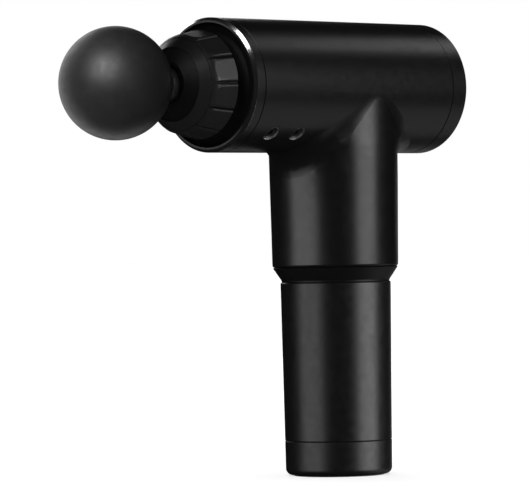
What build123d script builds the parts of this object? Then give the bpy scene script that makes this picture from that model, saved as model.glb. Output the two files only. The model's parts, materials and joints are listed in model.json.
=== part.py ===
from build123d import *

import os
from math import cos, radians, sin

# Percussion massage gun: a T-shaped aluminium body, a battery grip below it and a
# reciprocating piston that carries a push-fit ball head.
#
# Millimetres, +Z up. The origin is the centre of the grip's bottom face. The handle
# axis is Z, the barrel axis runs along X at AXIS_Z, and the ball points towards -X.

os.makedirs("parts", exist_ok=True)

# ---------------------------------------------------------------- driving dimensions
AXIS_Z = 177.0               # height of the barrel axis
BARREL_R = 30.0
BARREL_BORE_R = 27.4
BARREL_FRONT_X = -81.5       # front rim of the trim ring
SHELL_FRONT_X = -75.0        # joint between trim ring and barrel shell
SHELL_REAR_X = 50.0          # joint between barrel shell and rear cap
BARREL_REAR_X = 60.0
SPIGOT_R = 27.35             # push fit in the barrel bore
SPIGOT_BORE_R = 25.6

NECK_BOTTOM_Z = 95.0
NECK_STRAIGHT_Z = 150.0      # the neck stops widening here
NECK_BOTTOM_R = 28.75
NECK_TOP_R = 29.6
NECK_WALL = 2.6
NECK_FLANGE_Z = 105.0        # flange inside the neck that the collar bolts up to
NECK_FLANGE_T = 3.0
WIRE_HOLE_R = 11.0
JUNCTION_FILLET = 12.0       # soft blend of the neck into the barrel

GRIP_TOP_Z = 88.2
GRIP_BOTTOM_Z = 16.0
GRIP_TOP_R = 25.2
GRIP_BOTTOM_R = 24.4
GRIP_BORE_R = 22.6
CAP_BOTTOM_R = 24.27
CAP_CORNER_R = 3.0
CAP_FACE_Z = 0.3
PAD_R = 21.0
PAD_T = 1.3                  # rubber foot pad, let into the cap's face

SEAM = 0.32                  # break on the edges that meet at a visible joint
FIT = 0.05                   # radial running clearance

# Piston, head and nose
STROKE = 10.0
PISTON_R = 7.5
PISTON_FRONT_X = -110.5
PISTON_SHOULDER_X = -45.0
ROD_R = 5.5
ROD_REAR_X = 1.0
TONGUE_X = -9.0              # front end of the yoke's tongue in the forked rod
YOKE_PIN_X = -4.0
SOCKET_R = 5.6
SOCKET_END_X = -77.0
BALL_X = -138.2
BALL_R = 24.8
HEAD_CORE_R = 15.0
HEAD_NECK_R = 7.6

DRUM_FRONT_X = -99.0
DRUM_R = 19.5
LOBES = 12
LOBED_BACK_X = -86.0
LOBED_SHOULDER_X = -96.0     # the lobes slope more steeply forward of this
LOBED_FRONT_X = -99.2        # the plain front cone starts here
LOBED_TIP_X = -103.3
LOBE_BACK_R = 24.0           # to the flat of a lobe
LOBE_SHOULDER_R = 22.2
LOBE_FRONT_R = 21.6
LOBED_FRONT_R = 20.6
LOBED_TIP_R = 16.4
LOBE_WIDTH = 11.6
GROOVE_BACK_R = 22.8
GROOVE_FRONT_R = 20.3

# Crank drive, its axis across the barrel
MOTOR_X = 16.0
THROW = STROKE / 2
YOKE_HALF_THICK = 3.0
YOKE_X = MOTOR_X + THROW     # slot centre with the piston fully back
BEARING_R = 5.0
SLOT_PLAY = 1.2              # the slot is opened by this much on each side
SLOT_HALF_X = BEARING_R + SLOT_PLAY
LINER_T = 0.8
SLOT_HALF_Z = 10.6
BELL_R = 17.0
SHAFT_R = 2.5
PLATE_Y = 7.4                # near face of the motor plate
PLATE_T = 2.0
PLATE_HALF = 20.0
PLATE_HOLE = 17.0
STATOR_Y = 15.8              # near face of the stator core
STATOR_T = 5.0
TEETH = 12
MAGNETS = 14
BELL_END_Y = 20.0
BELL_WALL = 1.2
DISC_NEAR_Y = 3.8
DISC_T = 3.2
DISC_R = 9.2
COUNTERWEIGHT_R = 14.4
PIN_R = 2.0

# Chassis that carries the drive inside the barrel
CHASSIS_R = 26.4
CHASSIS_BORE_R = 24.2
CHASSIS_FRONT_X = -70.8
CHASSIS_REAR_X = 40.0
BUSH_R = 11.0
NOSE_SCREW_RING = 14.25
COLLAR_SCREW_RING = 15.5
QUARTERS = (45, 135, 225, 315)
BUSH_REAR_X = -60.0
SPLIT_GAP = 0.1

# Screws that hold the chassis, seen in counterbores low on each side of the barrel
SIDE_SCREW_X = (-62.0, -45.3)
SIDE_SCREW_ANGLE = 48.0      # below the horizontal
SIDE_BORE_R = 3.8
SIDE_BORE_DEPTH = 1.9

# Battery pack
CELL_R = 9.15
CELL_LENGTH = 65.0
CELL_Z = 22.0
CELL_RING_R = 10.65
CELL_ANGLES = (0, 120, 240)
BOSS_RING_R = 16.5
BOSS_ANGLES = (60, 180, 300)
STRIP_T = 0.2

# Electronics in the neck
BOARD_X = 6.0
BOARD_T = 1.6
BOARD_MID_Z = 128.0

# Bottom fittings
BEZEL_Z = 0.4                # bezels stay this far above the resting plane
SWITCH_X = -8.0
SWITCH_TILT = 7.0
PIVOT_Z = 5.2
JACK_X = 9.0

# Rear panel
PANEL_R = 25.0
PANEL_BACK_X = 58.25
PANEL_FACE_X = 59.9
BUTTON_R = 8.0
INDICATOR_R = 17.0
INDICATOR_ANGLES = (50, 70, 90, 110, 130, 230, 250, 270, 290, 310)
REAR_BOARD_X = 50.5
REAR_BOARD_T = 1.6
BOARD_SCREW_RING = 23.0

BARREL_AXIS = Axis((0, 0, AXIS_Z), (1, 0, 0))
CRANK_AXIS = Axis((MOTOR_X, 0, AXIS_Z), (0, 1, 0))


# ---------------------------------------------------------------- shared construction
def across(x):
    """Plane across the barrel at x: its own x is Y, its own y is Z, its normal is +X."""
    return Plane(origin=(x, 0, AXIS_Z), x_dir=(0, 1, 0), z_dir=(1, 0, 0))


def crank_face(y, x=MOTOR_X):
    """Plane facing -Y at y, centred on the barrel axis: its own x is X, its own y is Z."""
    return Plane(origin=(x, y, AXIS_Z), x_dir=(1, 0, 0), z_dir=(0, -1, 0))


def radial(x, side, angle, radius):
    """Plane that faces outward from the barrel axis, below the horizontal by angle."""
    out = Vector(0, side * cos(radians(angle)), -sin(radians(angle)))
    return Plane(origin=Vector(x, 0, AXIS_Z) + out * radius, x_dir=(1, 0, 0), z_dir=out)


def polar(radius, angle):
    return (radius * cos(radians(angle)), radius * sin(radians(angle)))


def turn_barrel(*outline, mode=Mode.ADD):
    """Revolve a closed (x, radius) outline about the barrel axis."""
    with BuildSketch(Plane.XZ) as profile:
        with BuildLine():
            Polyline(*[(x, AXIS_Z + r) for x, r in outline], close=True)
        make_face()
    revolve(profile.sketch, axis=BARREL_AXIS, mode=mode)


def turn_handle(*outline, mode=Mode.ADD):
    """Revolve a closed (radius, z) outline about the handle axis."""
    with BuildSketch(Plane.XZ) as profile:
        with BuildLine():
            Polyline(*outline, close=True)
        make_face()
    revolve(profile.sketch, axis=Axis.Z, mode=mode)


def turn_crank(*outline, mode=Mode.ADD):
    """Revolve a closed (radius, y) outline about the crank axis."""
    with BuildSketch(Plane.XY.offset(AXIS_Z)) as profile:
        with BuildLine():
            Polyline(*[(MOTOR_X + r, y) for r, y in outline], close=True)
        make_face()
    revolve(profile.sketch, axis=CRANK_AXIS, mode=mode)


def cap_screw(head_face, head_r, head_h, shank_r, shank_l, socket_r):
    """Socket screw: its head's outer face lies on the plane, its shank runs inward."""
    with BuildSketch(head_face) as head:
        Circle(head_r)
    extrude(head.sketch, amount=-head_h)
    with BuildSketch(head_face.offset(-head_h)) as shank:
        Circle(shank_r)
    extrude(shank.sketch, amount=-shank_l)
    with BuildSketch(head_face) as socket:
        RegularPolygon(socket_r, 6)
    extrude(socket.sketch, amount=-head_h * 0.6, mode=Mode.SUBTRACT)


# ---------------------------------------------------------------- body shells
with BuildPart() as barrel_shell:
    with BuildSketch(across(SHELL_FRONT_X)):
        Circle(BARREL_R)
    extrude(amount=SHELL_REAR_X - SHELL_FRONT_X)
    with BuildSketch(Plane.XY.offset(NECK_BOTTOM_Z)):
        Circle(NECK_BOTTOM_R)
    with BuildSketch(Plane.XY.offset(NECK_STRAIGHT_Z)):
        Circle(NECK_TOP_R)
    loft()
    with BuildSketch(Plane.XY.offset(NECK_STRAIGHT_Z)):
        Circle(NECK_TOP_R)
    extrude(amount=AXIS_Z - NECK_STRAIGHT_Z)
    crease = barrel_shell.edges().filter_by(
        lambda edge: edge.geom_type not in (GeomType.CIRCLE, GeomType.LINE)
    )
    fillet(crease, radius=JUNCTION_FILLET)
    ends = barrel_shell.edges().filter_by(GeomType.CIRCLE)
    chamfer(ends.filter_by_position(Axis.X, SHELL_FRONT_X, SHELL_FRONT_X), length=SEAM)
    chamfer(
        barrel_shell.edges().filter_by_position(Axis.X, SHELL_REAR_X, SHELL_REAR_X),
        length=SEAM,
    )
    fillet(
        barrel_shell.edges().filter_by_position(Axis.Z, NECK_BOTTOM_Z, NECK_BOTTOM_Z),
        radius=1.2,
    )
    with BuildSketch(across(SHELL_FRONT_X - 1)):
        Circle(BARREL_BORE_R)
    extrude(amount=SHELL_REAR_X - SHELL_FRONT_X + 2, mode=Mode.SUBTRACT)
    turn_handle(
        (0, NECK_BOTTOM_Z - 1),
        (NECK_BOTTOM_R - NECK_WALL, NECK_BOTTOM_Z - 1),
        (NECK_TOP_R - NECK_WALL, NECK_STRAIGHT_Z),
        (NECK_TOP_R - NECK_WALL, AXIS_Z),
        (0, AXIS_Z),
        mode=Mode.SUBTRACT,
    )
    # internal flange that the collar bolts up to
    turn_handle(
        (WIRE_HOLE_R, NECK_FLANGE_Z),
        (26.6, NECK_FLANGE_Z),
        (26.6, NECK_FLANGE_Z + NECK_FLANGE_T),
        (WIRE_HOLE_R, NECK_FLANGE_Z + NECK_FLANGE_T),
    )
    for angle in QUARTERS:
        with BuildSketch(Plane.XY.offset(NECK_FLANGE_Z - 1)):
            with Locations(polar(COLLAR_SCREW_RING, angle)):
                Circle(1.6)
        extrude(amount=NECK_FLANGE_T + 2, mode=Mode.SUBTRACT)
    for side in (-1, 1):
        for x in SIDE_SCREW_X:
            with Locations(radial(x, side, SIDE_SCREW_ANGLE, BARREL_R)):
                CounterBoreHole(
                    radius=2.1,
                    counter_bore_radius=SIDE_BORE_R,
                    counter_bore_depth=SIDE_BORE_DEPTH,
                    depth=4,
                )
barrel_shell.part.label = "barrel_shell"
export_step(barrel_shell.part, "parts/barrel_shell.step")

with BuildPart() as front_trim_ring:
    turn_barrel(
        (BARREL_FRONT_X, 27.8),
        (BARREL_FRONT_X, 28.7),
        (BARREL_FRONT_X + 1.3, BARREL_R),
        (SHELL_FRONT_X - SEAM, BARREL_R),
        (SHELL_FRONT_X, BARREL_R - SEAM),
        (SHELL_FRONT_X, SPIGOT_R),
        (SHELL_FRONT_X + 4, SPIGOT_R),
        (SHELL_FRONT_X + 4, SPIGOT_BORE_R),
        (SHELL_FRONT_X - 1, SPIGOT_BORE_R),
        (SHELL_FRONT_X - 1, 27.8),
    )
front_trim_ring.part.label = "front_trim_ring"
export_step(front_trim_ring.part, "parts/front_trim_ring.step")

with BuildPart() as rear_cap:
    turn_barrel(
        (SHELL_REAR_X - 5, SPIGOT_R),
        (SHELL_REAR_X, SPIGOT_R),
        (SHELL_REAR_X, BARREL_R - SEAM),
        (SHELL_REAR_X + SEAM, BARREL_R),
        (BARREL_REAR_X, BARREL_R),
        (BARREL_REAR_X, PANEL_R + 0.1),
        (58.2, PANEL_R + 0.1),
        (58.2, 21),
        (55.8, 21),
        (55.8, SPIGOT_BORE_R),
        (SHELL_REAR_X - 5, SPIGOT_BORE_R),
    )
    rim = rear_cap.edges().filter_by(GeomType.CIRCLE)
    rim = rim.filter_by_position(Axis.X, BARREL_REAR_X, BARREL_REAR_X)
    fillet(rim.sort_by(SortBy.RADIUS)[-1], radius=1.4)
    fillet(rim.sort_by(SortBy.RADIUS)[0], radius=0.3)
    # bosses for the rear board
    with BuildSketch(across(REAR_BOARD_X + REAR_BOARD_T + 0.02)):
        with PolarLocations(BOARD_SCREW_RING, 3, start_angle=90):
            Circle(2.4)
    extrude(amount=4.5)
    with BuildSketch(across(REAR_BOARD_X + REAR_BOARD_T)):
        with PolarLocations(BOARD_SCREW_RING, 3, start_angle=90):
            Circle(1.15)
    extrude(amount=3.2, mode=Mode.SUBTRACT)
rear_cap.part.label = "rear_cap"
export_step(rear_cap.part, "parts/rear_cap.step")

with BuildPart() as tapered_collar:
    turn_handle(
        (20.9, 78),
        (22.5, 78),
        (22.5, GRIP_TOP_Z + 0.1),
        (24.6, GRIP_TOP_Z + 0.1),
        (24.7, 89),
        (NECK_BOTTOM_R - 0.25, NECK_BOTTOM_Z - 0.3),
        (NECK_BOTTOM_R - 0.6, NECK_BOTTOM_Z - 0.02),
        (26.1, NECK_BOTTOM_Z - 0.02),
        (26.1, NECK_FLANGE_Z - 0.02),
        (9, NECK_FLANGE_Z - 0.02),
        (9, 101),
        (20.9, 101),
    )
    for angle in QUARTERS:
        with BuildSketch(Plane.XY.offset(NECK_FLANGE_Z - 5)):
            with Locations(polar(COLLAR_SCREW_RING, angle)):
                Circle(1.6)
        extrude(amount=6, mode=Mode.SUBTRACT)
tapered_collar.part.label = "tapered_collar"
export_step(tapered_collar.part, "parts/tapered_collar.step")

with BuildPart() as collar_screws:
    for angle in QUARTERS:
        x, y = polar(COLLAR_SCREW_RING, angle)
        cap_screw(
            Plane(origin=(x, y, 98), x_dir=(1, 0, 0), z_dir=(0, 0, -1)),
            head_r=2.8, head_h=2.98, shank_r=1.5, shank_l=6.8, socket_r=1.4,
        )
collar_screws.part.label = "collar_screws"
export_step(collar_screws.part, "parts/collar_screws.step")

with BuildPart() as grip_sleeve:
    turn_handle(
        (GRIP_BORE_R, GRIP_BOTTOM_Z),
        (GRIP_BOTTOM_R - SEAM, GRIP_BOTTOM_Z),
        (GRIP_BOTTOM_R, GRIP_BOTTOM_Z + SEAM),
        (GRIP_TOP_R, GRIP_TOP_Z - 0.5),
        (GRIP_TOP_R - 0.5, GRIP_TOP_Z),
        (GRIP_BORE_R, GRIP_TOP_Z),
    )
grip_sleeve.part.label = "grip_sleeve"
export_step(grip_sleeve.part, "parts/grip_sleeve.step")

with BuildPart() as bottom_cap:
    with BuildSketch(Plane.XZ):
        with BuildLine():
            Polyline((0, CAP_FACE_Z), (CAP_BOTTOM_R - CAP_CORNER_R, CAP_FACE_Z))
            RadiusArc(
                (CAP_BOTTOM_R - CAP_CORNER_R, CAP_FACE_Z),
                (CAP_BOTTOM_R, CAP_FACE_Z + CAP_CORNER_R),
                -CAP_CORNER_R,
            )
            Polyline(
                (CAP_BOTTOM_R, CAP_FACE_Z + CAP_CORNER_R),
                (GRIP_BOTTOM_R, GRIP_BOTTOM_Z - SEAM),
                (GRIP_BOTTOM_R - SEAM, GRIP_BOTTOM_Z),
                (22.5, GRIP_BOTTOM_Z),
                (22.5, 21),
                (20.9, 21),
                (20.9, 3.4),
                (0, 3.4),
                (0, CAP_FACE_Z),
            )
        make_face()
    revolve(axis=Axis.Z)
    # screw bosses up to the cell holder
    for angle in BOSS_ANGLES:
        with BuildSketch(Plane.XY.offset(3)):
            with Locations(polar(BOSS_RING_R, angle)):
                Circle(3.2)
        extrude(amount=15.4)
    # recess for the foot pad, openings for the power switch and the charging jack
    with BuildSketch(Plane.XY):
        Circle(PAD_R + 0.1)
    extrude(amount=PAD_T, mode=Mode.SUBTRACT)
    with BuildSketch(Plane.XY):
        with Locations((SWITCH_X, 0)):
            Rectangle(9, 14)
        with Locations((JACK_X, 0)):
            Circle(4.0)
    extrude(amount=5, mode=Mode.SUBTRACT)
    for angle in BOSS_ANGLES:
        x, y = polar(BOSS_RING_R, angle)
        with Locations(Plane(origin=(x, y, PAD_T), x_dir=(1, 0, 0), z_dir=(0, 0, -1))):
            CounterSinkHole(radius=1.6, counter_sink_radius=2.9, depth=20)
bottom_cap.part.label = "bottom_cap"
export_step(bottom_cap.part, "parts/bottom_cap.step")

with BuildPart() as foot_pad:
    with BuildSketch(Plane.XY):
        Circle(PAD_R)
        with Locations((SWITCH_X, 0)):
            RectangleRounded(11.2, 15.8, 1.2, mode=Mode.SUBTRACT)
        with Locations((JACK_X, 0)):
            Circle(4.85, mode=Mode.SUBTRACT)
    extrude(amount=PAD_T - 0.02)
    chamfer(foot_pad.faces().sort_by(Axis.Z)[0].outer_wire().edges(), length=0.3)
foot_pad.part.label = "foot_pad"
export_step(foot_pad.part, "parts/foot_pad.step")

with BuildPart() as bottom_screws:
    for angle in BOSS_ANGLES:
        x, y = polar(BOSS_RING_R, angle)
        head_face = Plane(origin=(x, y, PAD_T + 0.15), x_dir=(1, 0, 0), z_dir=(0, 0, -1))
        with BuildSketch(Plane(origin=(x, y, 0), x_dir=(1, 0, 0), z_dir=(0, -1, 0))):
            with BuildLine():
                Polyline(
                    (0, PAD_T + 0.15),
                    (2.65, PAD_T + 0.15),
                    (1.45, PAD_T + 1.45),
                    (1.45, 24),
                    (0, 24.6),
                    close=True,
                )
            make_face()
        revolve(axis=Axis((x, y, 0), (0, 0, 1)))
        with BuildSketch(head_face):
            Rectangle(3.2, 0.7)
            Rectangle(0.7, 3.2)
        extrude(amount=-1.0, mode=Mode.SUBTRACT)
bottom_screws.part.label = "bottom_screws"
export_step(bottom_screws.part, "parts/bottom_screws.step")

# ---------------------------------------------------------------- nose
with BuildPart() as nose_base:
    turn_barrel(
        (DRUM_FRONT_X, 11.1),
        (DRUM_FRONT_X, DRUM_R),
        (-82.5, DRUM_R),
        (-79.8, 21.5),
        (-79.0, 23.5),
        (-79.0, 27.7),
        (-76.0, 27.7),
        (-76.0, 25.5),
        (-71.0, 25.5),
        (-71.0, 11.1),
    )
    # hollow behind the front web, around the bush tube
    turn_barrel((-96, 13.2), (-96, 17.4), (-70, 17.4), (-70, 13.2), mode=Mode.SUBTRACT)
    for angle in QUARTERS:
        with BuildSketch(across(-96.5)):
            with Locations(polar(NOSE_SCREW_RING, angle)):
                Circle(2.5)
        extrude(amount=25.5)
        with BuildSketch(across(-100)):
            with Locations(polar(NOSE_SCREW_RING, angle)):
                Circle(1.35)
        extrude(amount=30, mode=Mode.SUBTRACT)
nose_base.part.label = "nose_base"
export_step(nose_base.part, "parts/nose_base.step")

with BuildPart() as nose_screws:
    for angle in QUARTERS:
        y, z = polar(NOSE_SCREW_RING, angle)
        cap_screw(
            Plane(origin=(-100.7, y, AXIS_Z + z), x_dir=(0, 1, 0), z_dir=(-1, 0, 0)),
            head_r=2.0, head_h=1.68, shank_r=1.25, shank_l=35, socket_r=1.1,
        )
nose_screws.part.label = "nose_screws"
export_step(nose_screws.part, "parts/nose_screws.step")

with BuildPart() as lobed_ring:
    # twelve flat-topped lobes with a narrow groove between neighbours, tapering forward
    for x, groove_r, lobe_r in (
        (LOBED_BACK_X, GROOVE_BACK_R, LOBE_BACK_R),
        (LOBED_FRONT_X, GROOVE_FRONT_R, LOBE_FRONT_R),
    ):
        with BuildSketch(across(x)):
            Circle(groove_r)
            with PolarLocations(lobe_r - 4, LOBES, start_angle=180 / LOBES):
                RectangleRounded(8, LOBE_WIDTH * lobe_r / LOBE_BACK_R, 1.2)
    loft()
    with BuildSketch(across(LOBED_FRONT_X)):
        Circle(GROOVE_FRONT_R)
    extrude(amount=LOBED_TIP_X - LOBED_FRONT_X)
    # turned envelope that rounds both ends of the lobes and cuts the front cone
    with BuildSketch(Plane.XZ):
        with BuildLine():
            Polyline(
                (LOBED_BACK_X, AXIS_Z + LOBE_BACK_R - 1),
                (LOBED_BACK_X, AXIS_Z),
                (LOBED_TIP_X, AXIS_Z),
                (LOBED_TIP_X, AXIS_Z + LOBED_TIP_R + 0.2),
                (LOBED_FRONT_X, AXIS_Z + LOBED_FRONT_R),
            )
            ThreePointArc(
                (LOBED_FRONT_X, AXIS_Z + LOBED_FRONT_R),
                (LOBED_SHOULDER_X - 1.5, AXIS_Z + LOBE_SHOULDER_R - 0.3),
                (LOBED_SHOULDER_X, AXIS_Z + LOBE_SHOULDER_R + 0.3),
            )
            Line(
                (LOBED_SHOULDER_X, AXIS_Z + LOBE_SHOULDER_R + 0.3),
                (LOBED_BACK_X - 1.2, AXIS_Z + LOBE_BACK_R + 0.3),
            )
            ThreePointArc(
                (LOBED_BACK_X - 1.2, AXIS_Z + LOBE_BACK_R + 0.3),
                (LOBED_BACK_X - 0.3, AXIS_Z + LOBE_BACK_R - 0.1),
                (LOBED_BACK_X, AXIS_Z + LOBE_BACK_R - 1),
            )
        make_face()
    revolve(axis=BARREL_AXIS, mode=Mode.INTERSECT)
    turn_barrel(
        (LOBED_BACK_X + 1, 0),
        (LOBED_BACK_X + 1, DRUM_R + FIT),
        (DRUM_FRONT_X - 0.05, DRUM_R + FIT),
        (DRUM_FRONT_X - 0.05, LOBED_TIP_R),
        (LOBED_TIP_X - 1, LOBED_TIP_R),
        (LOBED_TIP_X - 1, 0),
        mode=Mode.SUBTRACT,
    )
lobed_ring.part.label = "lobed_ring"
export_step(lobed_ring.part, "parts/lobed_ring.step")

with BuildPart() as nose_cap:
    turn_barrel(
        (-106.4, 8.5),
        (-106.4, 10.2),
        (-105.9, 10.9),
        (-102.9, LOBED_TIP_R - FIT),
        (-101.0, LOBED_TIP_R - FIT),
        (-101.0, 9.6),
        (-105.2, 9.6),
        (-105.2, 8.5),
    )
nose_cap.part.label = "nose_cap"
export_step(nose_cap.part, "parts/nose_cap.step")

with BuildPart() as wiper_seal:
    turn_barrel(
        (-105.15, 8.2),
        (-104.6, PISTON_R + FIT),
        (-104.2, 8.2),
        (-101.2, 8.2),
        (-101.2, 9.55),
        (-105.15, 9.55),
    )
wiper_seal.part.label = "wiper_seal"
export_step(wiper_seal.part, "parts/wiper_seal.step")

with BuildPart() as guide_bush:
    turn_barrel(
        (-100.9, PISTON_R + FIT),
        (-100.9, 12.1),
        (-99.05, 12.1),
        (-99.05, BUSH_R),
        (BUSH_REAR_X, BUSH_R),
        (BUSH_REAR_X, PISTON_R + FIT),
    )
guide_bush.part.label = "guide_bush"
export_step(guide_bush.part, "parts/guide_bush.step")

# ---------------------------------------------------------------- chassis halves
for side, name in ((-1, "chassis_left"), (1, "chassis_right")):
    with BuildPart() as half:
        with BuildSketch(across(CHASSIS_FRONT_X)):
            Circle(CHASSIS_R)
            Circle(CHASSIS_BORE_R, mode=Mode.SUBTRACT)
        extrude(amount=CHASSIS_REAR_X - CHASSIS_FRONT_X)
        # front bulkhead with the bush seat, rod bulkhead and rear bulkhead
        for x, depth, hole_r in ((CHASSIS_FRONT_X, 9, BUSH_R + FIT), (-36, 3, 6.2), (37, 3, 6)):
            with BuildSketch(across(x)):
                Circle(CHASSIS_BORE_R + 0.5)
                Circle(hole_r, mode=Mode.SUBTRACT)
            extrude(amount=depth)
        for x in SIDE_SCREW_X:
            with BuildSketch(radial(x, side, SIDE_SCREW_ANGLE, 17)):
                Circle(4.2)
            extrude(amount=8)
        if side > 0:
            # posts for the motor plate
            for dx in (-PLATE_HOLE, PLATE_HOLE):
                for dz in (-PLATE_HOLE, PLATE_HOLE):
                    with BuildSketch(crank_face(18.5)):
                        with Locations((dx, dz)):
                            Circle(3.2)
                    extrude(amount=18.5 - PLATE_Y - PLATE_T)
                    with BuildSketch(crank_face(16)):
                        with Locations((dx, dz)):
                            Circle(1.2)
                    extrude(amount=16 - PLATE_Y, mode=Mode.SUBTRACT)
        # windows: the motor or its mirror, the wiring exit over the neck, and the top
        with BuildSketch(crank_face(side * 19)):
            Circle(BELL_R + 1.2)
        extrude(amount=9, both=True, mode=Mode.SUBTRACT)
        with BuildSketch(Plane.XY.offset(AXIS_Z - 30)):
            Rectangle(46, 30)
        extrude(amount=12, mode=Mode.SUBTRACT)
        with BuildSketch(Plane.XY.offset(AXIS_Z + 18)):
            with Locations((-14, 0)):
                Rectangle(26, 24)
        extrude(amount=12, mode=Mode.SUBTRACT)
        for x in SIDE_SCREW_X:
            with BuildSketch(radial(x, side, SIDE_SCREW_ANGLE, 18.4)):
                Circle(1.7)
            extrude(amount=12, mode=Mode.SUBTRACT)
        for angle in QUARTERS:
            with BuildSketch(across(CHASSIS_FRONT_X)):
                with Locations(polar(NOSE_SCREW_RING, angle)):
                    Circle(1.27)
            extrude(amount=7, mode=Mode.SUBTRACT)
        keep = Keep.TOP if side < 0 else Keep.BOTTOM
        split(bisect_by=Plane.XZ.offset(-side * SPLIT_GAP / 2), keep=keep)
    half.part.label = name
    export_step(half.part, f"parts/{name}.step")

with BuildPart() as chassis_screws:
    for side in (-1, 1):
        for x in SIDE_SCREW_X:
            cap_screw(
                radial(x, side, SIDE_SCREW_ANGLE, BARREL_R - 1.0),
                head_r=3.4, head_h=0.88, shank_r=1.65, shank_l=9, socket_r=1.5,
            )
chassis_screws.part.label = "chassis_screws"
export_step(chassis_screws.part, "parts/chassis_screws.step")

with BuildPart() as damper_pads:
    for x in (-58, 28):
        with BuildSketch(across(x)):
            Circle(BARREL_BORE_R - FIT)
            Circle(CHASSIS_R + FIT, mode=Mode.SUBTRACT)
            for angle in (45, 135):
                Rectangle(60, 24, rotation=angle, mode=Mode.SUBTRACT)
        extrude(amount=9)
damper_pads.part.label = "damper_pads"
export_step(damper_pads.part, "parts/damper_pads.step")

# ---------------------------------------------------------------- motor, fixed side
with BuildPart() as motor_plate:
    with BuildSketch(crank_face(PLATE_Y + PLATE_T)):
        RectangleRounded(2 * PLATE_HALF, 2 * PLATE_HALF, 3)
        Circle(3.4, mode=Mode.SUBTRACT)
        with GridLocations(2 * PLATE_HOLE, 2 * PLATE_HOLE, 2, 2):
            Circle(1.6, mode=Mode.SUBTRACT)
        with PolarLocations(12, 4, start_angle=0):
            Circle(2.6, mode=Mode.SUBTRACT)
    extrude(amount=PLATE_T)
    turn_crank((5.55, PLATE_Y + 1), (7.2, PLATE_Y + 1), (7.2, 17.4), (5.55, 17.4))
motor_plate.part.label = "motor_plate"
export_step(motor_plate.part, "parts/motor_plate.step")

with BuildPart() as motor_plate_screws:
    for dx in (-PLATE_HOLE, PLATE_HOLE):
        for dz in (-PLATE_HOLE, PLATE_HOLE):
            cap_screw(
                Plane(
                    origin=(MOTOR_X + dx, PLATE_Y - 1.62, AXIS_Z + dz),
                    x_dir=(1, 0, 0),
                    z_dir=(0, -1, 0),
                ),
                head_r=2.3, head_h=1.6, shank_r=1.15, shank_l=8, socket_r=1.1,
            )
motor_plate_screws.part.label = "motor_plate_screws"
export_step(motor_plate_screws.part, "parts/motor_plate_screws.step")

with BuildPart() as motor_bearings:
    for y in (9.7, 14.8):
        turn_crank((SHAFT_R + FIT, y), (5.5, y), (5.5, y + 2.5), (SHAFT_R + FIT, y + 2.5))
motor_bearings.part.label = "motor_bearings"
export_step(motor_bearings.part, "parts/motor_bearings.step")

with BuildPart() as stator_core:
    with BuildSketch(crank_face(STATOR_Y)):
        Circle(14.35)
        Circle(13.3, mode=Mode.SUBTRACT)
        with PolarLocations(14, TEETH, start_angle=180 / TEETH):
            Rectangle(3, 1.6, mode=Mode.SUBTRACT)
        Circle(9.0)
        with PolarLocations(11, TEETH):
            Rectangle(5.2, 2.0)
        Circle(7.25, mode=Mode.SUBTRACT)
    extrude(amount=STATOR_T)
stator_core.part.label = "stator_core"
export_step(stator_core.part, "parts/stator_core.step")

with BuildPart() as stator_windings:
    with BuildSketch(crank_face(STATOR_Y + 0.8)):
        with PolarLocations(11.15, TEETH):
            Rectangle(3.8, 4.0)
    extrude(amount=STATOR_T + 1.0)
    with BuildSketch(crank_face(STATOR_Y + 0.02)):
        with PolarLocations(11.15, TEETH):
            Rectangle(6, 2.1)
    extrude(amount=STATOR_T + 0.04, mode=Mode.SUBTRACT)
stator_windings.part.label = "stator_windings"
export_step(stator_windings.part, "parts/stator_windings.step")

# ---------------------------------------------------------------- rotor and crank
with BuildPart() as rotor_bell:
    turn_crank(
        (BELL_R - BELL_WALL, 10.0),
        (BELL_R, 10.0),
        (BELL_R, BELL_END_Y - 0.8),
        (BELL_R - 0.8, BELL_END_Y),
        (SHAFT_R, BELL_END_Y),
        (SHAFT_R, 17.8),
        (4.5, 17.8),
        (4.5, BELL_END_Y - 1.4),
        (BELL_R - BELL_WALL, BELL_END_Y - 1.4),
    )
    with BuildSketch(crank_face(BELL_END_Y + 1)):
        with PolarLocations(10, 8):
            SlotCenterToCenter(5, 3)
    extrude(amount=2.6, mode=Mode.SUBTRACT)
rotor_bell.part.label = "rotor_bell"
export_step(rotor_bell.part, "parts/rotor_bell.step")

with BuildPart() as rotor_magnets:
    with BuildSketch(crank_face(16.6)):
        Circle(BELL_R - BELL_WALL - 0.02)
        Circle(14.75, mode=Mode.SUBTRACT)
        with PolarLocations(15.3, MAGNETS):
            Rectangle(3, 0.8, mode=Mode.SUBTRACT)
    extrude(amount=6.2)
rotor_magnets.part.label = "rotor_magnets"
export_step(rotor_magnets.part, "parts/rotor_magnets.step")

with BuildPart() as motor_shaft:
    turn_crank(
        (0, DISC_NEAR_Y),
        (SHAFT_R - 0.02, DISC_NEAR_Y),
        (SHAFT_R - 0.02, BELL_END_Y + 0.4),
        (0, BELL_END_Y + 0.4),
    )
motor_shaft.part.label = "motor_shaft"
export_step(motor_shaft.part, "parts/motor_shaft.step")

with BuildPart() as crank_disc:
    with BuildSketch(crank_face(DISC_NEAR_Y + DISC_T)):
        Circle(DISC_R)
        # counterweight sector opposite the pin
        with BuildLine():
            CenterArc((0, 0), COUNTERWEIGHT_R, 110, 140)
            Line(polar(COUNTERWEIGHT_R, 250), (0, 0))
            Line((0, 0), polar(COUNTERWEIGHT_R, 110))
        make_face()
        Circle(SHAFT_R, mode=Mode.SUBTRACT)
        with Locations((THROW, 0)):
            Circle(PIN_R + 0.02, mode=Mode.SUBTRACT)
    extrude(amount=DISC_T)
crank_disc.part.label = "crank_disc"
export_step(crank_disc.part, "parts/crank_disc.step")

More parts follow.
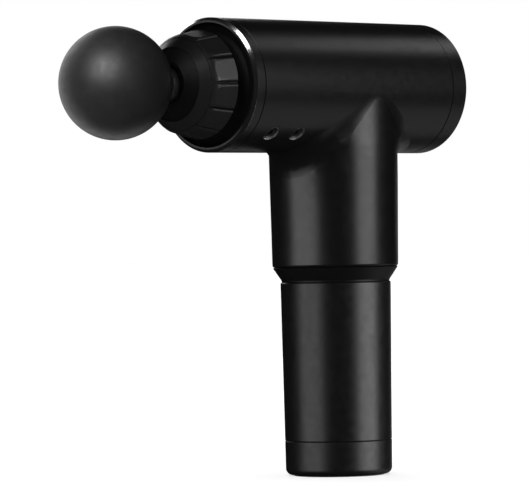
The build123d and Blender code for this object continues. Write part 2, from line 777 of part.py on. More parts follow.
with BuildPart() as crank_pin:
    with BuildSketch(crank_face(DISC_NEAR_Y + DISC_T)):
        with Locations((THROW, 0)):
            Circle(PIN_R)
    extrude(amount=DISC_NEAR_Y + DISC_T + 2.6)
    with BuildSketch(crank_face(-2.6)):
        with Locations((THROW, 0)):
            Circle(3.2)
    extrude(amount=0.8)
crank_pin.part.label = "crank_pin"
export_step(crank_pin.part, "parts/crank_pin.step")

with BuildPart() as crank_bearing:
    with BuildSketch(crank_face(2.5)):
        with Locations((THROW, 0)):
            Circle(BEARING_R)
            Circle(PIN_R + 0.02, mode=Mode.SUBTRACT)
    extrude(amount=5)
crank_bearing.part.label = "crank_bearing"
export_step(crank_bearing.part, "parts/crank_bearing.step")

# ---------------------------------------------------------------- piston and yoke
with BuildPart() as piston:
    turn_barrel(
        (PISTON_FRONT_X, SOCKET_R),
        (PISTON_FRONT_X, PISTON_R - 0.6),
        (PISTON_FRONT_X + 0.6, PISTON_R),
        (PISTON_SHOULDER_X - 1, PISTON_R),
        (PISTON_SHOULDER_X, PISTON_R - 1),
        (PISTON_SHOULDER_X, ROD_R),
        (ROD_REAR_X, ROD_R),
        (ROD_REAR_X, 0),
        (SOCKET_END_X, 0),
        (SOCKET_END_X, SOCKET_R),
    )
    # fork for the yoke's tongue, and the hole for its pin
    with BuildSketch(crank_face(YOKE_HALF_THICK + 0.02, x=0)):
        with Locations(((TONGUE_X + ROD_REAR_X + 1) / 2, 0)):
            Rectangle(ROD_REAR_X + 1 - TONGUE_X, 16)
    extrude(amount=2 * YOKE_HALF_THICK + 0.04, mode=Mode.SUBTRACT)
    with BuildSketch(crank_face(8, x=YOKE_PIN_X)):
        Circle(1.27)
    extrude(amount=16, mode=Mode.SUBTRACT)
piston.part.label = "piston"
export_step(piston.part, "parts/piston.step")

with BuildPart() as yoke:
    with BuildSketch(crank_face(YOKE_HALF_THICK, x=YOKE_X)):
        RectangleRounded(22, 29, 3)
        with Locations(((TONGUE_X + 0.2 + 12) / 2 - YOKE_X, 0)):
            Rectangle(12 - TONGUE_X - 0.2, 8.4)
        Rectangle(2 * (SLOT_HALF_X + LINER_T), 2 * SLOT_HALF_Z, mode=Mode.SUBTRACT)
        with Locations((YOKE_PIN_X - YOKE_X, 0)):
            Circle(1.27, mode=Mode.SUBTRACT)
    extrude(amount=2 * YOKE_HALF_THICK)
yoke.part.label = "yoke"
export_step(yoke.part, "parts/yoke.step")

with BuildPart() as yoke_liners:
    for side in (-1, 1):
        with BuildSketch(crank_face(YOKE_HALF_THICK, x=YOKE_X)):
            with Locations((side * (SLOT_HALF_X + LINER_T / 2), 0)):
                Rectangle(LINER_T - 0.04, 2 * SLOT_HALF_Z - 0.1)
        extrude(amount=2 * YOKE_HALF_THICK)
yoke_liners.part.label = "yoke_liners"
export_step(yoke_liners.part, "parts/yoke_liners.step")

with BuildPart() as yoke_pin:
    with BuildSketch(crank_face(5.2, x=YOKE_PIN_X)):
        Circle(1.25)
    extrude(amount=10.4)
yoke_pin.part.label = "yoke_pin"
export_step(yoke_pin.part, "parts/yoke_pin.step")

# ---------------------------------------------------------------- massage head
with BuildPart() as head_core:
    turn_barrel(
        (BALL_X, 0),
        (BALL_X, HEAD_NECK_R),
        (-111.4, HEAD_NECK_R),
        (-111.0, HEAD_NECK_R - 0.4),
        (-111.0, SOCKET_R - FIT),
        (-105.0, SOCKET_R - FIT),
        (-105.0, 4.5),
        (-103.0, 4.5),
        (-103.0, SOCKET_R - FIT),
        (-87.0, SOCKET_R - FIT),
        (-87.0, 4.5),
        (-85.0, 4.5),
        (-85.0, SOCKET_R - FIT),
        (-79.0, SOCKET_R - FIT),
        (-78.0, 4.5),
        (-78.0, 0),
    )
    with Locations((BALL_X, 0, AXIS_Z)):
        Sphere(HEAD_CORE_R)
head_core.part.label = "head_core"
export_step(head_core.part, "parts/head_core.step")

with BuildPart() as head_o_rings:
    for x in (-104.0, -86.0):
        with BuildSketch(Plane.XZ):
            with Locations((x, AXIS_Z + 5.05)):
                Circle(0.49)
        revolve(axis=BARREL_AXIS)
head_o_rings.part.label = "head_o_rings"
export_step(head_o_rings.part, "parts/head_o_rings.step")

with BuildPart() as head_ball:
    with Locations((BALL_X, 0, AXIS_Z)):
        Sphere(BALL_R)
        Sphere(HEAD_CORE_R + 0.02, mode=Mode.SUBTRACT)
    turn_barrel(
        (BALL_X, 0),
        (BALL_X, HEAD_NECK_R + 0.02),
        (BALL_X + BALL_R + 1, HEAD_NECK_R + 0.02),
        (BALL_X + BALL_R + 1, 0),
        mode=Mode.SUBTRACT,
    )
head_ball.part.label = "head_ball"
export_step(head_ball.part, "parts/head_ball.step")

# ---------------------------------------------------------------- battery and wiring
for number, angle in enumerate(CELL_ANGLES, start=1):
    x, y = polar(CELL_RING_R, angle)
    name = f"battery_cell_{number}"
    with BuildPart() as cell:
        with BuildSketch(Plane.XY.offset(CELL_Z)):
            with Locations((x, y)):
                Circle(CELL_R)
        extrude(amount=CELL_LENGTH - 1.2)
        fillet(cell.edges().filter_by(GeomType.CIRCLE), radius=0.8)
        with BuildSketch(Plane.XY.offset(CELL_Z + CELL_LENGTH - 1.3)):
            with Locations((x, y)):
                Circle(2.9)
        extrude(amount=1.3)
    cell.part.label = name
    export_step(cell.part, f"parts/{name}.step")

for name, base_z, pocket_z, pocket_depth, strip_z in (
    ("cell_holder_bottom", 18.5, CELL_Z - 0.5, 4.5, CELL_Z - 0.5),
    ("cell_holder_top", 83.5, 83.0, 4.2, CELL_Z + CELL_LENGTH - 0.2),
):
    with BuildPart() as holder:
        with BuildSketch(Plane.XY.offset(base_z)):
            Circle(20.6)
        extrude(amount=7)
        with BuildSketch(Plane.XY.offset(pocket_z)):
            for angle in CELL_ANGLES:
                with Locations(polar(CELL_RING_R, angle)):
                    Circle(CELL_R + 0.08)
            Circle(5.6)
        extrude(amount=pocket_depth, mode=Mode.SUBTRACT)
        with BuildSketch(Plane.XY.offset(strip_z)):
            Circle(12)
        extrude(amount=0.7, mode=Mode.SUBTRACT)
        with BuildSketch(Plane.XY.offset(base_z - 1)):
            for angle in BOSS_ANGLES:
                with Locations(polar(BOSS_RING_R, angle)):
                    Circle(1.5)
        extrude(amount=9, mode=Mode.SUBTRACT)
    holder.part.label = name
    export_step(holder.part, f"parts/{name}.step")

with BuildPart() as nickel_strips:
    for z in (CELL_Z - STRIP_T - 0.02, CELL_Z + CELL_LENGTH + 0.02):
        with BuildSketch(Plane.XY.offset(z)):
            for angle in (0, 120):
                with Locations(polar(CELL_RING_R / 2, angle + 60)):
                    Rectangle(16, 5, rotation=angle + 150)
        extrude(amount=STRIP_T)
nickel_strips.part.label = "nickel_strips"
export_step(nickel_strips.part, "parts/nickel_strips.step")

with BuildPart() as protection_board:
    with BuildSketch(Plane.XY.offset(16.4)):
        Circle(20.5)
        for angle in BOSS_ANGLES:
            with Locations(polar(BOSS_RING_R, angle)):
                Circle(3.5, mode=Mode.SUBTRACT)
    extrude(amount=1.2)
    # power transistors and the balance connector
    with BuildSketch(Plane.XY.offset(16.4)):
        with GridLocations(7, 0, 2, 1):
            Rectangle(5, 6)
        with Locations((0, 12)):
            Rectangle(10, 4)
    extrude(amount=-1.6)
protection_board.part.label = "protection_board"
export_step(protection_board.part, "parts/protection_board.step")

with BuildPart() as control_board:
    with BuildSketch(Plane(origin=(BOARD_X, 0, BOARD_MID_Z), x_dir=(0, 1, 0), z_dir=(1, 0, 0))):
        RectangleRounded(44, 34, 2)
    extrude(amount=BOARD_T)
    # processor and two connectors
    face = Plane(origin=(BOARD_X + BOARD_T, 0, BOARD_MID_Z), x_dir=(0, 1, 0), z_dir=(1, 0, 0))
    with BuildSketch(face):
        with Locations((-12, 2)):
            Rectangle(7, 7)
    extrude(amount=1.2)
    with BuildSketch(face):
        with Locations((-13, -12), (-13, 13)):
            Rectangle(9, 5)
    extrude(amount=5)
control_board.part.label = "control_board"
export_step(control_board.part, "parts/control_board.step")

with BuildPart() as bulk_capacitors:
    for y in (2, 13):
        with BuildSketch(Plane.XY.offset(113)):
            with Locations((BOARD_X + BOARD_T + 5.05, y)):
                Circle(4.8)
        extrude(amount=12)
bulk_capacitors.part.label = "bulk_capacitors"
export_step(bulk_capacitors.part, "parts/bulk_capacitors.step")

with BuildPart() as heatsink:
    with BuildSketch(Plane.XY.offset(128)):
        with Locations((BOARD_X + BOARD_T + 3.4, 8)):
            Rectangle(2.2, 24)
        with Locations((BOARD_X + BOARD_T + 6.9, 8)):
            with GridLocations(0, 4.4, 1, 6):
                Rectangle(5, 1.2)
    extrude(amount=15)
heatsink.part.label = "heatsink"
export_step(heatsink.part, "parts/heatsink.step")

with BuildPart() as power_transistors:
    for y in (-0.5, 8, 16.5):
        with BuildSketch(Plane.XY.offset(129)):
            with Locations((BOARD_X + BOARD_T + 1.15, y)):
                Rectangle(2.1, 6)
        extrude(amount=9)
power_transistors.part.label = "power_transistors"
export_step(power_transistors.part, "parts/power_transistors.step")

with BuildPart() as internal_leads:
    # two from the battery up to the control board
    with BuildSketch(Plane.XY.offset(90.6)):
        with Locations((BOARD_X - 1.3, -5), (BOARD_X - 1.3, 5)):
            Circle(1.2)
    extrude(amount=24)
    # three from the control board up to the motor plate
    with BuildSketch(Plane.XY.offset(143.2)):
        for x in (12, 16, 20):
            with Locations((x, PLATE_Y + PLATE_T / 2)):
                Circle(0.9)
    extrude(amount=AXIS_Z - PLATE_HALF - 0.05 - 143.2)
internal_leads.part.label = "internal_leads"
export_step(internal_leads.part, "parts/internal_leads.step")

# ---------------------------------------------------------------- bottom fittings
with BuildPart() as switch_body:
    with BuildSketch(Plane.XY.offset(BEZEL_Z)):
        with Locations((SWITCH_X, 0)):
            RectangleRounded(10.8, 15.4, 1)
    extrude(amount=PAD_T - BEZEL_Z - 0.02)
    with BuildSketch(Plane.XY.offset(1.2)):
        with Locations((SWITCH_X, 0)):
            Rectangle(8.9, 13.9)
    extrude(amount=11.6)
    with BuildSketch(Plane.XY.offset(BEZEL_Z)):
        with Locations((SWITCH_X, 0)):
            Rectangle(7.6, 12.9)
    extrude(amount=8, mode=Mode.SUBTRACT)
    # pivot holes in the side walls
    with BuildSketch(Plane(origin=(SWITCH_X - 6, 0, PIVOT_Z), x_dir=(0, 1, 0), z_dir=(1, 0, 0))):
        Circle(0.8 + FIT)
    extrude(amount=12, mode=Mode.SUBTRACT)
    # terminal blades
    with BuildSketch(Plane.XY.offset(12.8)):
        with Locations((SWITCH_X, -4), (SWITCH_X, 4)):
            Rectangle(3, 0.6)
    extrude(amount=2.2)
switch_body.part.label = "switch_body"
export_step(switch_body.part, "parts/switch_body.step")

with BuildPart() as power_switch:
    tilt = radians(SWITCH_TILT)
    side_view = Plane(
        origin=(SWITCH_X - 3.6, 0, PIVOT_Z),
        x_dir=(0, cos(tilt), sin(tilt)),
        z_dir=(1, 0, 0),
    )
    with BuildSketch(side_view):
        with BuildLine():
            Line((-6.0, -3.7), (-6.0, -1.5))
            RadiusArc((-6.0, -1.5), (6.0, -1.5), 7.5)
            Line((6.0, -1.5), (6.0, -3.7))
            ThreePointArc((6.0, -3.7), (0, -2.9), (-6.0, -3.7))
        make_face()
    extrude(amount=7.2)
    with BuildSketch(Plane(origin=(SWITCH_X - 4.4, 0, PIVOT_Z), x_dir=(0, 1, 0), z_dir=(1, 0, 0))):
        Circle(0.8)
    extrude(amount=8.8)
power_switch.part.label = "power_switch"
export_step(power_switch.part, "parts/power_switch.step")

with BuildPart() as charging_jack:
    with BuildSketch(Plane.XY.offset(BEZEL_Z)):
        with Locations((JACK_X, 0)):
            Circle(4.65)
    extrude(amount=PAD_T - BEZEL_Z - 0.02)
    with BuildSketch(Plane.XY.offset(1.2)):
        with Locations((JACK_X, 0)):
            Circle(3.95)
    extrude(amount=12.2)
    with BuildSketch(Plane.XY.offset(BEZEL_Z)):
        with Locations((JACK_X, 0)):
            Circle(2.8)
    extrude(amount=10, mode=Mode.SUBTRACT)
    with BuildSketch(Plane.XY.offset(10)):
        with Locations((JACK_X, 0)):
            Circle(1.06)
    extrude(amount=3.5, mode=Mode.SUBTRACT)
charging_jack.part.label = "charging_jack"
export_step(charging_jack.part, "parts/charging_jack.step")

with BuildPart() as jack_pin:
    with BuildSketch(Plane.XY.offset(2.2)):
        with Locations((JACK_X, 0)):
            Circle(1.05)
    extrude(amount=12.6)
jack_pin.part.label = "jack_pin"
export_step(jack_pin.part, "parts/jack_pin.step")

# ---------------------------------------------------------------- rear control panel
with BuildPart() as rear_panel:
    turn_barrel(
        (PANEL_BACK_X, BUTTON_R + 0.2),
        (PANEL_FACE_X, BUTTON_R + 0.2),
        (PANEL_FACE_X, PANEL_R - 0.3),
        (PANEL_FACE_X - 0.3, PANEL_R),
        (PANEL_BACK_X, PANEL_R),
    )
    for angle in INDICATOR_ANGLES:
        with BuildSketch(across(PANEL_BACK_X - 1)):
            with Locations(polar(INDICATOR_R, angle)):
                Circle(1.05)
        extrude(amount=4, mode=Mode.SUBTRACT)
rear_panel.part.label = "rear_panel"
export_step(rear_panel.part, "parts/rear_panel.step")

with BuildPart() as indicator_windows:
    for angle in INDICATOR_ANGLES:
        with BuildSketch(across(PANEL_BACK_X - 0.6)):
            with Locations(polar(INDICATOR_R, angle)):
                Circle(1.02)
        extrude(amount=PANEL_FACE_X - PANEL_BACK_X + 0.6)
indicator_windows.part.label = "indicator_windows"
export_step(indicator_windows.part, "parts/indicator_windows.step")

with BuildPart() as power_button:
    turn_barrel(
        (55.0, 0),
        (55.0, 2.0),
        (56.4, 2.0),
        (56.4, 9.6),
        (57.9, 9.6),
        (57.9, BUTTON_R),
        (PANEL_FACE_X - 0.5, BUTTON_R),
        (PANEL_FACE_X, BUTTON_R - 0.5),
        (PANEL_FACE_X, 6.6),
        (PANEL_FACE_X - 0.6, 5.6),
        (PANEL_FACE_X - 0.6, 0),
    )
power_button.part.label = "power_button"
export_step(power_button.part, "parts/power_button.step")

with BuildPart() as rear_board:
    with BuildSketch(across(REAR_BOARD_X)):
        Circle(SPIGOT_BORE_R - 0.3)
        with PolarLocations(BOARD_SCREW_RING, 3, start_angle=90):
            Circle(1.3, mode=Mode.SUBTRACT)
    extrude(amount=REAR_BOARD_T)
rear_board.part.label = "rear_board"
export_step(rear_board.part, "parts/rear_board.step")

with BuildPart() as rear_board_screws:
    for angle in (90, 210, 330):
        y, z = polar(BOARD_SCREW_RING, angle)
        cap_screw(
            Plane(origin=(REAR_BOARD_X - 1.52, y, AXIS_Z + z), x_dir=(0, 1, 0), z_dir=(-1, 0, 0)),
            head_r=2.1, head_h=1.5, shank_r=1.1, shank_l=4.6, socket_r=1.0,
        )
rear_board_screws.part.label = "rear_board_screws"
export_step(rear_board_screws.part, "parts/rear_board_screws.step")

with BuildPart() as indicator_leds:
    for angle in INDICATOR_ANGLES:
        with BuildSketch(across(REAR_BOARD_X + REAR_BOARD_T + 0.02)):
            with Locations(polar(INDICATOR_R, angle)):
                Rectangle(1.6, 1.6)
        extrude(amount=1.0)
indicator_leds.part.label = "indicator_leds"
export_step(indicator_leds.part, "parts/indicator_leds.step")

with BuildPart() as tact_switch:
    with BuildSketch(across(REAR_BOARD_X + REAR_BOARD_T + 0.02)):
        Rectangle(6, 6)
    extrude(amount=1.4)
    with BuildSketch(across(REAR_BOARD_X + REAR_BOARD_T + 1.4)):
        Circle(1.7)
    extrude(amount=0.5)
tact_switch.part.label = "tact_switch"
export_step(tact_switch.part, "parts/tact_switch.step")
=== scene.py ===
import json
import math

import bmesh
import bpy
from mathutils import Matrix, Vector


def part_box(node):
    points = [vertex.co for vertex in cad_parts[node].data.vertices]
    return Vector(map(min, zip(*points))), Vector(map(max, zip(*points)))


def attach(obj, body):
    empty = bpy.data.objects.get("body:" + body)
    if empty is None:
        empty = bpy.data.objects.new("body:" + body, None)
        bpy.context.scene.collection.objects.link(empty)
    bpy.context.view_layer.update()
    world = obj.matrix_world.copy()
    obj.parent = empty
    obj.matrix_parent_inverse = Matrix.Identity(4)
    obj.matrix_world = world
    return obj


# Percussion massage gun in a plain studio. Metres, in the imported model's frame: the
# handle axis is Z, the barrel runs along X, and the ball head points towards -X.

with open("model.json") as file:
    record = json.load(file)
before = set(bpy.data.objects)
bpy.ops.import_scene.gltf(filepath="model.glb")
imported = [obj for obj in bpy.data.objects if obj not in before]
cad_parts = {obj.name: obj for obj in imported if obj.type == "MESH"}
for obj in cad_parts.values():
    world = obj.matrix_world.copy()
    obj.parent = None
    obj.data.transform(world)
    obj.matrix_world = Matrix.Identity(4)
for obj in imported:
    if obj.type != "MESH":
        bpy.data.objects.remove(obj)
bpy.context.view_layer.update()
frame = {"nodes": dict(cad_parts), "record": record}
record = frame["record"]
MM = 0.001


# ---------------------------------------------------------------- camera
CAMERA_AIM = Vector((-0.02225, 0.02332, 0.10326))
CAMERA_DISTANCE = 1.90125
CAMERA_AZIMUTH = -46.33
CAMERA_ELEVATION = 0.155
CAMERA_ROLL = -1.078
CAMERA_LENS = 282.92         # mm, on a sensor 36 mm wide
SENSOR_WIDTH = 36


def make_camera():
    azimuth = math.radians(CAMERA_AZIMUTH)
    elevation = math.radians(CAMERA_ELEVATION)
    back = Vector(
        (
            math.sin(azimuth) * math.cos(elevation),
            -math.cos(azimuth) * math.cos(elevation),
            math.sin(elevation),
        )
    )
    right = Vector((math.cos(azimuth), math.sin(azimuth), 0))
    up = back.cross(right)
    turn = Matrix((right, up, back)).transposed() @ Matrix.Rotation(
        math.radians(CAMERA_ROLL), 3, "Z"
    )
    data = bpy.data.cameras.new("camera")
    data.lens = CAMERA_LENS
    data.sensor_width = SENSOR_WIDTH
    data.clip_start = 0.05
    data.clip_end = 60
    camera = bpy.data.objects.new("camera", data)
    camera.matrix_world = Matrix.Translation(CAMERA_AIM + back * CAMERA_DISTANCE) @ turn.to_4x4()
    bpy.context.scene.collection.objects.link(camera)
    bpy.context.scene.camera = camera


make_camera()


# ---------------------------------------------------------------- studio
FLOOR_HALF = 12
FLOOR_WHITE = 0.93
FLOOR_ROUGHNESS = 0.9
FLOOR_SPECULAR = 0.1
# Two suns light the floor alone and bring it up to the backdrop's white. The object
# shades only the weaker one, which keeps the contact shadow faint.
FLOOR_SUNS = (("floor_sun", 2.90, False), ("floor_shaded_sun", 0.85, True))
FLOOR_SUN_ANGLE = math.radians(70)

# Groups of nodes that have softboxes of their own, so that the highlights on the ball,
# the nose, the barrel and the grip can be set one by one. BARREL is everything that the
# other three leave, with the inner parts.
HEAD = ("head_ball", "head_core")
NOSE = ("lobed_ring", "nose_cap", "nose_base", "wiper_seal")
GRIP = ("tapered_collar", "grip_sleeve", "bottom_cap")
BARREL = [name for name in frame["nodes"] if name not in HEAD + NOSE + GRIP]
BODY = BARREL + list(GRIP)

# name, azimuth from +X to +Y in degrees, distance, bottom and top heights, width, power
# in watts, and the only nodes that it lights; None lights everything
SOFTBOXES = (
    ("left_strip", 166, 1.6, -0.36, 0.90, 1.6, 20.0, BARREL),
    ("left_grip_strip", 165, 1.6, -0.60, 0.90, 1.6, 18.0, GRIP),
    ("right_strip", -77, 1.6, -0.05, 0.90, 1.15, 18.5, BARREL),
    ("right_grip_strip", -69, 1.6, -0.60, 0.90, 1.35, 29.0, GRIP),
    ("under_glow", -30, 1.4, -1.45, -0.35, 1.6, 2.6, BODY),
    ("neck_rim", 28, 1.5, -0.70, 0.20, 0.8, 0.7, BODY),
    ("barrel_strip", -6, 1.6, 1.25, 1.55, 0.8, 2.0, BODY),
    ("overhead", -160, 0.9, 1.20, 1.75, 1.0, 5.0, BODY),
    ("ball_key", -160, 1.5, 0.45, 1.55, 1.2, 47.0, HEAD),
    ("ball_rim", 92, 1.4, -1.30, 1.60, 1.4, 20.0, HEAD),
    ("ball_under", 44, 1.2, -1.40, -0.60, 1.5, 6.0, HEAD),
    ("nose_key", -165, 1.3, 0.60, 1.20, 0.8, 6.0, NOSE),
    ("nose_side", -82, 1.3, 0.10, 1.10, 0.35, 11.0, NOSE),
    ("back_softbox", 62, 1.7, 0.6, 1.2, 1.2, 4.0, None),
)
SOFTBOX_AIM = Vector((0, 0, 0.10))
BACKDROP_STRENGTH = 1.0
ROOM_STRENGTH = 0.012
VIEW_GAMMA = 0.87            # a little more contrast in the dark tones


def light_only(light, objects):
    """Light linking: the light reaches these objects alone."""
    lit = bpy.data.collections.new(light.name + "_lights")
    for obj in objects:
        lit.objects.link(obj)
    light.light_linking.receiver_collection = lit


def floor_material():
    """Matt white from above and clear from below, so that the underside can be seen."""
    material = bpy.data.materials.new("floor")
    material.use_nodes = True
    nodes, links = material.node_tree.nodes, material.node_tree.links
    shader = nodes["Principled BSDF"]
    shader.inputs["Base Color"].default_value = (FLOOR_WHITE, FLOOR_WHITE, FLOOR_WHITE, 1)
    shader.inputs["Roughness"].default_value = FLOOR_ROUGHNESS
    shader.inputs["Specular IOR Level"].default_value = FLOOR_SPECULAR
    side = nodes.new("ShaderNodeNewGeometry")
    clear = nodes.new("ShaderNodeBsdfTransparent")
    one_sided = nodes.new("ShaderNodeMixShader")
    links.new(side.outputs["Backfacing"], one_sided.inputs[0])
    links.new(shader.outputs[0], one_sided.inputs[1])
    links.new(clear.outputs[0], one_sided.inputs[2])
    links.new(one_sided.outputs[0], nodes["Material Output"].inputs["Surface"])
    return material


def make_floor():
    mesh = bpy.data.meshes.new("floor")
    half = FLOOR_HALF
    mesh.from_pydata(
        [(-half, -half, 0), (half, -half, 0), (half, half, 0), (-half, half, 0)],
        [],
        [(0, 1, 2, 3)],
    )
    mesh.materials.append(floor_material())
    floor = bpy.data.objects.new("floor", mesh)
    bpy.context.scene.collection.objects.link(floor)
    floor.visible_glossy = False
    floor.visible_shadow = False
    for name, strength, shaded in FLOOR_SUNS:
        data = bpy.data.lights.new(name, "SUN")
        data.energy = strength
        data.angle = FLOOR_SUN_ANGLE
        data.use_shadow = shaded
        sun = bpy.data.objects.new(name, data)
        bpy.context.scene.collection.objects.link(sun)
        light_only(sun, [floor])


def softbox(name, azimuth, distance, bottom, top, width, power, only):
    """Rectangular light that faces SOFTBOX_AIM; the camera doesn't see it."""
    a = math.radians(azimuth)
    place = Vector((math.cos(a) * distance, math.sin(a) * distance, (bottom + top) / 2))
    facing = place - SOFTBOX_AIM
    data = bpy.data.lights.new(name, "AREA")
    data.shape = "RECTANGLE"
    data.size = width
    data.size_y = top - bottom
    data.energy = power
    light = bpy.data.objects.new(name, data)
    light.location = place
    light.rotation_mode = "QUATERNION"
    light.rotation_quaternion = facing.to_track_quat("Z", "Y")
    light.visible_camera = False
    bpy.context.scene.collection.objects.link(light)
    if only:
        light_only(light, [frame["nodes"][node] for node in only])


def make_world():
    """White backdrop for the camera, and a dim room for everything else."""
    world = bpy.data.worlds.new("studio")
    bpy.context.scene.world = world
    world.use_nodes = True
    nodes, links = world.node_tree.nodes, world.node_tree.links
    nodes.clear()
    out = nodes.new("ShaderNodeOutputWorld")
    mix = nodes.new("ShaderNodeMixShader")
    path = nodes.new("ShaderNodeLightPath")
    seen = nodes.new("ShaderNodeBackground")
    lit = nodes.new("ShaderNodeBackground")
    seen.inputs["Color"].default_value = (1, 1, 1, 1)
    seen.inputs["Strength"].default_value = BACKDROP_STRENGTH
    lit.inputs["Color"].default_value = (0.92, 0.95, 1, 1)
    lit.inputs["Strength"].default_value = ROOM_STRENGTH
    links.new(path.outputs["Is Camera Ray"], mix.inputs[0])
    links.new(lit.outputs[0], mix.inputs[1])
    links.new(seen.outputs[0], mix.inputs[2])
    links.new(mix.outputs[0], out.inputs[0])


bpy.context.scene.view_settings.view_transform = "Standard"
bpy.context.scene.view_settings.gamma = VIEW_GAMMA
make_floor()
make_world()
for box in SOFTBOXES:
    softbox(*box)


# ---------------------------------------------------------------- material nodes
def new_material(name, color, roughness, metallic=0.0):
    material = bpy.data.materials.new(name)
    material.use_nodes = True
    shader = material.node_tree.nodes["Principled BSDF"]
    shader.inputs["Base Color"].default_value = (*color, 1)
    shader.inputs["Roughness"].default_value = roughness
    shader.inputs["Metallic"].default_value = metallic
    return material, material.node_tree.nodes, material.node_tree.links, shader


def object_noise(nodes, links, scale, detail=3, stretch=(1, 1, 1)):
    """Noise in the object's own coordinates, which are the model's metres."""
    place = nodes.new("ShaderNodeTexCoord")
    mapping = nodes.new("ShaderNodeMapping")
    mapping.inputs["Scale"].default_value = stretch
    noise = nodes.new("ShaderNodeTexNoise")
    noise.inputs["Scale"].default_value = scale
    noise.inputs["Detail"].default_value = detail
    links.new(place.outputs["Object"], mapping.inputs["Vector"])
    links.new(mapping.outputs["Vector"], noise.inputs["Vector"])
    return noise


def math_node(nodes, links, operation, *values):
    """Math node; each value is a number or another node's output."""
    node = nodes.new("ShaderNodeMath")
    node.operation = operation
    for socket, value in zip(node.inputs, values):
        if isinstance(value, (int, float)):
            socket.default_value = value
        else:
            links.new(value, socket)
    return node.outputs[0]


def mix_color(nodes, links, mask, low, high):
    """Colour that goes from low to high with the mask."""
    node = nodes.new("ShaderNodeMix")
    node.data_type = "RGBA"
    links.new(mask, node.inputs["Factor"])
    color_a, color_b = node.inputs[6], node.inputs[7]
    for socket, value in ((color_a, low), (color_b, high)):
        if isinstance(value, tuple):
            socket.default_value = (*value, 1)
        else:
            links.new(value, socket)
    return node.outputs[2]


def remap(nodes, links, value, low, high, start=0.3, end=0.7):
    """Range start..end of a value, spread over low..high."""
    node = nodes.new("ShaderNodeMapRange")
    node.inputs["From Min"].default_value = start
    node.inputs["From Max"].default_value = end
    node.inputs["To Min"].default_value = low
    node.inputs["To Max"].default_value = high
    links.new(value, node.inputs["Value"])
    return node.outputs["Result"]


# ---------------------------------------------------------------- finishes
SLOW_SCALE, SMUDGE_SCALE, SCUFF_SCALE = 45, 300, 900     # noise cells per metre
SCUFF_STRETCH = (1, 1, 0.08)                             # scuffs run along Z
SCUFF_START, SCUFF_END = 0.66, 0.78                      # only the noise's peaks show
RELIEF_DEPTH = 0.1 * MM
COAT_ROUGHNESS = 0.2


def finish(name, color, roughness, metallic=0.0, grain=9000, bump=0.06, spread=0.05,
           stretch=(1, 1, 1), mottle=0.12, wear=0.0, coat=0.0, specular=0.5):
    """Fine grain in the relief, slow change of tone, smudged gloss and a few fine scuffs."""
    material, nodes, links, shader = new_material(name, color, roughness, metallic)
    shader.inputs["Specular IOR Level"].default_value = specular
    if coat:
        shader.inputs["Coat Weight"].default_value = coat
        shader.inputs["Coat Roughness"].default_value = COAT_ROUGHNESS
    slow = object_noise(nodes, links, SLOW_SCALE, 4)
    tone = remap(nodes, links, slow.outputs["Fac"], 0, 1)
    low = tuple(c * (1 - mottle) for c in color)
    high = tuple(c * (1 + mottle) for c in color)
    tint = mix_color(nodes, links, tone, low, high)
    smudge = object_noise(nodes, links, SMUDGE_SCALE, 5, stretch)
    gloss = remap(nodes, links, smudge.outputs["Fac"],
                  max(0.03, roughness - spread), min(1.0, roughness + spread))
    if wear:
        scuff = object_noise(nodes, links, SCUFF_SCALE, 6, SCUFF_STRETCH)
        mark = remap(nodes, links, scuff.outputs["Fac"], 0, wear, SCUFF_START, SCUFF_END)
        tint = mix_color(nodes, links, mark, tint, tuple(min(1, c * 3 + 0.02) for c in color))
    links.new(tint, shader.inputs["Base Color"])
    links.new(gloss, shader.inputs["Roughness"])
    if bump:
        fine = object_noise(nodes, links, grain, 2, stretch)
        relief = nodes.new("ShaderNodeBump")
        relief.inputs["Strength"].default_value = bump
        relief.inputs["Distance"].default_value = RELIEF_DEPTH
        links.new(fine.outputs["Fac"], relief.inputs["Height"])
        links.new(relief.outputs["Normal"], shader.inputs["Normal"])
    return material


def add_bright_zone(material, mask_maker, color, roughness):
    """Blend bare machined metal into a finish where the mask is 1."""
    nodes, links = material.node_tree.nodes, material.node_tree.links
    shader = nodes["Principled BSDF"]
    place = nodes.new("ShaderNodeTexCoord")
    split = nodes.new("ShaderNodeSeparateXYZ")
    links.new(place.outputs["Object"], split.inputs[0])
    mask = mask_maker(nodes, links, *split.outputs)
    old_color = shader.inputs["Base Color"].links[0].from_socket
    links.new(mix_color(nodes, links, mask, old_color, color), shader.inputs["Base Color"])
    old_gloss = shader.inputs["Roughness"].links[0].from_socket
    gloss = math_node(nodes, links, "MULTIPLY_ADD", mask,
                      math_node(nodes, links, "SUBTRACT", roughness, old_gloss), old_gloss)
    links.new(gloss, shader.inputs["Roughness"])
    links.new(mask, shader.inputs["Metallic"])


RIM_LOW, RIM_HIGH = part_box("front_trim_ring")
BARREL_Z = (RIM_LOW[2] + RIM_HIGH[2]) / 2
CHAMFER_X = RIM_LOW[0] + 1.35 * MM                       # the bevel's rear edge
CHAMFER_R = RIM_HIGH[1] - 1.25 * MM                      # and its inner edge
SCREW_X = (-62.0 * MM, -45.3 * MM)
SCREW_ANGLE = math.radians(48)                           # below the horizontal
SCREW_RECESS_R = 3.86 * MM
RECESS_TOP_R = 29.95 * MM                                # just under the barrel's skin


def chamfer_mask(nodes, links, x, y, z):
    """The rim's bevel: ahead of its shoulder, and outside its flat front lip."""
    up = math_node(nodes, links, "SUBTRACT", z, BARREL_Z)
    square = math_node(nodes, links, "ADD", math_node(nodes, links, "MULTIPLY", y, y),
                       math_node(nodes, links, "MULTIPLY", up, up))
    radius = math_node(nodes, links, "SQRT", square)
    ahead = math_node(nodes, links, "LESS_THAN", x, CHAMFER_X)
    outside = math_node(nodes, links, "GREATER_THAN", radius, CHAMFER_R)
    return math_node(nodes, links, "MULTIPLY", ahead, outside)


